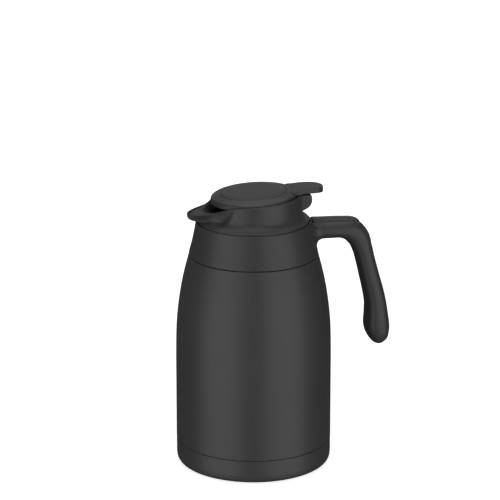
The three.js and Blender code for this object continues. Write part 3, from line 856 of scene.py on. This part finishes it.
# ---- valve ----
def valve_stem():
    return turned("valve_stem_fine", rounded([
        (0, 174.9), (STEM_RADIUS, 174.9), (STEM_RADIUS, 209.3, 0.2), (5, 209.3), (5, 210.8, 0.5),
        (4.2, 211.4, 0.5), (0, 211.4),
    ]), COARSE)


def valve_disc():
    return turned("valve_disc_fine", rounded([
        (0, 172.4), (7.2, 172.4), (7.2, 174.2), (12.8, 174.2), (12.8, 175.8, 0.6), (4.4, 176.6, 0.5),
        (4.4, 180), (2.9, 180), (2.9, 174.6), (0, 174.6),
    ]), COARSE)


SPRING = {"low": 177.5, "high": 197, "coils": 6, "radius": 6.2, "wire": 0.5}


def valve_spring():
    """A compression spring whose end coils lie closed."""
    steps_per_coil, around = 40, 12
    steps = SPRING["coils"] * steps_per_coil
    share = np.linspace(0, 1, steps + 1)
    rise = smoothstep(share) * 0.35 + share * 0.65
    angle = share * SPRING["coils"] * 2 * math.pi
    middle = np.column_stack([
        SPRING["radius"] * np.cos(angle), SPRING["radius"] * np.sin(angle),
        SPRING["low"] + (SPRING["high"] - SPRING["low"]) * rise,
    ])
    outward = np.column_stack([np.cos(angle), np.sin(angle), np.zeros(len(angle))])
    up = np.array([0, 0, 1])
    turns = np.linspace(0, 2 * math.pi, around, endpoint=False)
    rings = [
        [spot + SPRING["wire"] * (math.cos(turn) * out + math.sin(turn) * up) for turn in turns]
        for spot, out in zip(middle, outward)
    ]
    return lofted("valve_spring_fine", rings, ends="capped")


# ---- lid and lever ----
def on_lid(piece):
    """Puts a piece made round the lid's own axis into its tilted place."""
    piece.data.transform(Matrix.Translation((0, 0, LID_TOP_Z * MM)) @ Matrix.Rotation(-LID_TILT, 4, "Y"))
    return piece


# The thumb lever behind the lid: x, middle z, half thickness, half width.
TAIL = [
    (28.4, 222.3, 1.9, 15), (33, 223.1, 2.05, 12.4), (38, 223.8, 2.2, 10.8), (43, 224, 2.25, 10.3),
    (47, 223.95, 2.25, 9.9), (50, 223.85, 2.25, 9), (52.6, 223.7, 2.25, 7.3), (54.4, 223.55, 2.25, 5),
    (55.3, 223.5, 2.2, 2.4), (55.5, 223.5, 2.15, 0.6),
]
TAIL_EDGE = 0.75
TAIL_REACH = TAIL[-1][0]


def tail():
    rings = []
    for x, z, thick, wide in smooth_rows(TAIL, np.linspace(0, len(TAIL) - 1, 70)):
        edge = min(TAIL_EDGE, 0.8 * wide)
        low, high = z - thick, z + thick
        section = rounded([(wide, low), (wide, high), (-wide, high), (-wide, low)], edge, 5)
        rings.append([(min(x, TAIL_REACH), y, up) for y, up in section])
    return lofted("tail", rings, ends="capped")


def screw_hole():
    """Takes the screw that holds the yoke under the lid."""
    return drill("hole", 1.8, 216, 223)


def lever_base():
    inner = CAP_RADIUS + 0.25
    pan = on_lid(turned("lever_base_fine", rounded([
        (0, -3.1), (31.6, -3.1), (32.6, -6.8), (LID_RADIUS, -6.8, 0.5), (LID_RADIUS, -2.9, 3.2),
        (inner, -0.45), (inner, -2), (0, -2),
    ], steps=8)))
    knuckle = cross_rod("knuckle", 3.4, (-4.9, 4.9), PIN_X, PIN_Z)
    neck = block("neck", (39.4, -4.9, PIN_Z), (44.8, 4.9, 223.6), 0.4)
    bore = cross_rod("bore", PIN_BORE, (-12, 12), PIN_X, PIN_Z, 0)
    return combine(combine(pan, [tail(), knuckle, neck]), [bore, screw_hole()], "DIFFERENCE")


def lever_cap():
    return on_lid(turned("lever_cap_fine", rounded([
        (0, -1.7), (CAP_RADIUS, -1.7), (CAP_RADIUS, -0.5, 0.3), (20.5, 0.12, 9), (0, 0.2),
    ], steps=8)))


def lifter_yoke():
    bar = block("lifter_yoke_fine", (-5, -8.4, 218.5), (5, 8.4, 220.1), 0.3)
    parts = []
    for side in (-1, 1):
        leg = sorted((6.2 * side, 8.4 * side))
        toe = sorted((3.3 * side, 8.4 * side))
        parts.append(block(f"leg_{side}", (-2.5, leg[0], 206.9), (2.5, leg[1], 219.2), 0.3))
        parts.append(block(f"toe_{side}", (-2.5, toe[0], 206.6), (2.5, toe[1], 208.4), 0.3))
    return combine(combine(bar, parts), [screw_hole()], "DIFFERENCE")


def yoke_screw():
    screw = turned("yoke_screw_fine", rounded([
        (0, 216.4), (3, 216.4, 0.5), (3, 218.2), (1.5, 218.2), (1.5, 221.6, 0.3), (0, 221.6),
    ]), COARSE)
    return cross_recess(screw, 0, 215, 217.2, 0.7, 3.2)


# ---- camera, light and floor ----
VIEW_AZIMUTH = -10
VIEW_ELEVATION = 17.17
VIEW_DISTANCE = 2.133
VIEW_TARGET_Z = 0.17487
VIEW_SIDESTEP = 0.0028  # to the camera's left
LENS = 194.04


def spherical(azimuth, elevation, distance):
    """A place round the object, by the same angles as the camera's."""
    a, e = math.radians(azimuth), math.radians(elevation)
    return distance * Vector((math.sin(a) * math.cos(e), -math.cos(a) * math.cos(e), math.sin(e)))


def add_camera():
    camera = bpy.data.objects.new("camera", bpy.data.cameras.new("camera"))
    camera.data.lens = LENS
    camera.data.sensor_width = 36
    back = spherical(VIEW_AZIMUTH, VIEW_ELEVATION, 1)
    aim = (-back).to_track_quat("-Z", "Y")
    left = aim @ Vector((-1, 0, 0))
    camera.location = Vector((0, 0, VIEW_TARGET_Z)) + back * VIEW_DISTANCE + left * VIEW_SIDESTEP
    camera.rotation_mode = "QUATERNION"
    camera.rotation_quaternion = aim
    bpy.context.scene.collection.objects.link(camera)
    bpy.context.scene.camera = camera


# name, degrees round from the camera, elevation, distance, size, watts, height that it faces
SOFTBOXES = [
    ("softbox_left", -47.5, 0, 1.0, (1.14, 1.35), 5.6, -0.02),
    ("softbox_right", 47.5, 0, 1.0, (1.14, 1.35), 5.6, -0.02),
    ("overhead", 180, 88, 1.1, (1.1, 2.1), 7.5, 0.12),
    ("backdrop", 180, 10, 2.4, (2.0, 1.2), 2.4, 0.12),
]


def add_softbox(name, round_by, elevation, distance, size, watts, height):
    light = bpy.data.lights.new(name, "AREA")
    light.shape = "RECTANGLE"
    light.size, light.size_y = size
    light.energy = watts
    lamp = bpy.data.objects.new(name, light)
    away = spherical(VIEW_AZIMUTH + round_by, elevation, distance)
    lamp.location = Vector((0, 0, height)) + away
    lamp.rotation_mode = "QUATERNION"
    lamp.rotation_quaternion = away.to_track_quat("Z", "Y")
    lamp.visible_camera = False
    bpy.context.scene.collection.objects.link(lamp)


def add_world():
    """A white surround to look at, and a dim one to be lit by."""
    world = bpy.data.worlds.new("surround")
    world.use_nodes = True
    nodes, links = world.node_tree.nodes, world.node_tree.links
    nodes.clear()
    seen, dim = nodes.new("ShaderNodeBackground"), nodes.new("ShaderNodeBackground")
    seen.inputs["Color"].default_value = (1, 1, 1, 1)
    dim.inputs["Color"].default_value = (0.06, 0.06, 0.062, 1)
    mix, out = nodes.new("ShaderNodeMixShader"), nodes.new("ShaderNodeOutputWorld")
    links.new(nodes.new("ShaderNodeLightPath").outputs["Is Camera Ray"], mix.inputs["Fac"])
    links.new(dim.outputs[0], mix.inputs[1])
    links.new(seen.outputs[0], mix.inputs[2])
    links.new(mix.outputs[0], out.inputs["Surface"])
    bpy.context.scene.world = world


FLOOR_RADIUS = 8000
FLOOR_Z = -0.05
FLOOR_STEPS = 96
# Metres from the axis, and the glow there.
GLOW_START = (0.1, 0.8)
GLOW_END = (0.9, 1.05)


def add_floor():
    """A pale floor with a painted glow that brightens it to white away from the object."""
    turns = np.linspace(0, 2 * math.pi, FLOOR_STEPS, endpoint=False)
    rim = [(FLOOR_RADIUS * math.cos(turn), FLOOR_RADIUS * math.sin(turn), FLOOR_Z) for turn in turns]
    floor = make_object("floor", rim, [tuple(range(FLOOR_STEPS))])
    material = bpy.data.materials.new("floor")
    material.use_nodes = True
    nodes, links = material.node_tree.nodes, material.node_tree.links
    shader = nodes["Principled BSDF"]
    shader.inputs["Base Color"].default_value = (0.8, 0.8, 0.8, 1)
    shader.inputs["Roughness"].default_value = 0.9
    shader.inputs["Specular IOR Level"].default_value = 0
    shader.inputs["Emission Color"].default_value = (1, 1, 1, 1)
    place = nodes.new("ShaderNodeTexCoord").outputs["Object"]
    length = nodes.new("ShaderNodeVectorMath")
    length.operation = "LENGTH"
    links.new(place, length.inputs[0])
    glow = nodes.new("ShaderNodeMapRange")
    glow.interpolation_type = "SMOOTHSTEP"
    glow.inputs["From Min"].default_value, glow.inputs["To Min"].default_value = GLOW_START
    glow.inputs["From Max"].default_value, glow.inputs["To Max"].default_value = GLOW_END
    links.new(length.outputs["Value"], glow.inputs["Value"])
    # painted light: the floor's emission, weaker near the object, stands in for the light that whites it out
    links.new(glow.outputs["Result"], shader.inputs["Emission Strength"])
    floor.data.materials.append(material)
    floor.visible_diffuse = False
    floor.visible_glossy = False
    floor.visible_shadow = False


def add_studio():
    add_camera()
    for softbox in SOFTBOXES:
        add_softbox(*softbox)
    add_world()
    add_floor()
    bpy.context.scene.view_settings.view_transform = "Standard"


def add_pot():
    fit(outer_shell())
    fit(inner_liner())
    fit(turned("reflector_foil_fine", band(58.8, 59.2, 20, 94, 0.1)))
    fit(getter_pellet())
    fit(vacuum_seal())
    fit(base_cup())
    fit(base_pad())
    fit(collar_handle())
    fit(cover("arm_top_cover_fine", 0.83, 5.18, RIDGE, 1.4, 1.6))
    fit(cover("grip_back_cover_fine", 5.3, 14.9, 0.05, 0.3, 0.3))
    for i, x in enumerate(SCREW_XS):
        fit(handle_screw(f"handle_screw_{i + 1}_fine", x, 188.4, 195.4))
    fit(turned("neck_washer_fine", band(NECK_RADIUS + 0.4, 44, 184.9, 185.7, 0.15)))
    fit(turned("neck_gasket_fine", band(37.7, 38.6, 187, 191.9)))
    fit(bayonet_ring())


def add_stopper():
    fit(stopper_housing())
    fit(stopper_plug())
    insulation = rounded([(17.2, 169.3), (29.6, 169.3), (29.6, 192.3), (17.2, 186.1)], 0.6)
    fit(turned("plug_insulation_fine", insulation))
    fit(turned("plug_bottom_cover_fine", band(10.8, 32.9, PLUG_BOTTOM_Z, 168.4, 0.5)))
    fit(stopper_gasket())
    fit(turned("housing_seal_fine", band(31.6, 33.4, 197.4, 198.6)))
    fit(valve_bridge())
    fit(cross_rod("hinge_pin_fine", PIN_RADIUS, PIN_ENDS, PIN_X, PIN_Z))


def add_valve():
    fit(valve_stem())
    fit(valve_disc())
    fit(turned("valve_gasket_fine", band(7.5, 12.4, 172.1, 173.9), COARSE))
    spring = valve_spring()
    spring.data.materials.append(FINISHES["bare_steel"])
    spring.data.shade_smooth()
    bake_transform(spring)
    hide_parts("valve_spring")


def add_lever():
    fit(lever_base())
    fit(lever_cap())
    fit(lifter_yoke())
    fit(yoke_screw())


add_studio()
add_pot()
add_stopper()
add_valve()
add_lever()
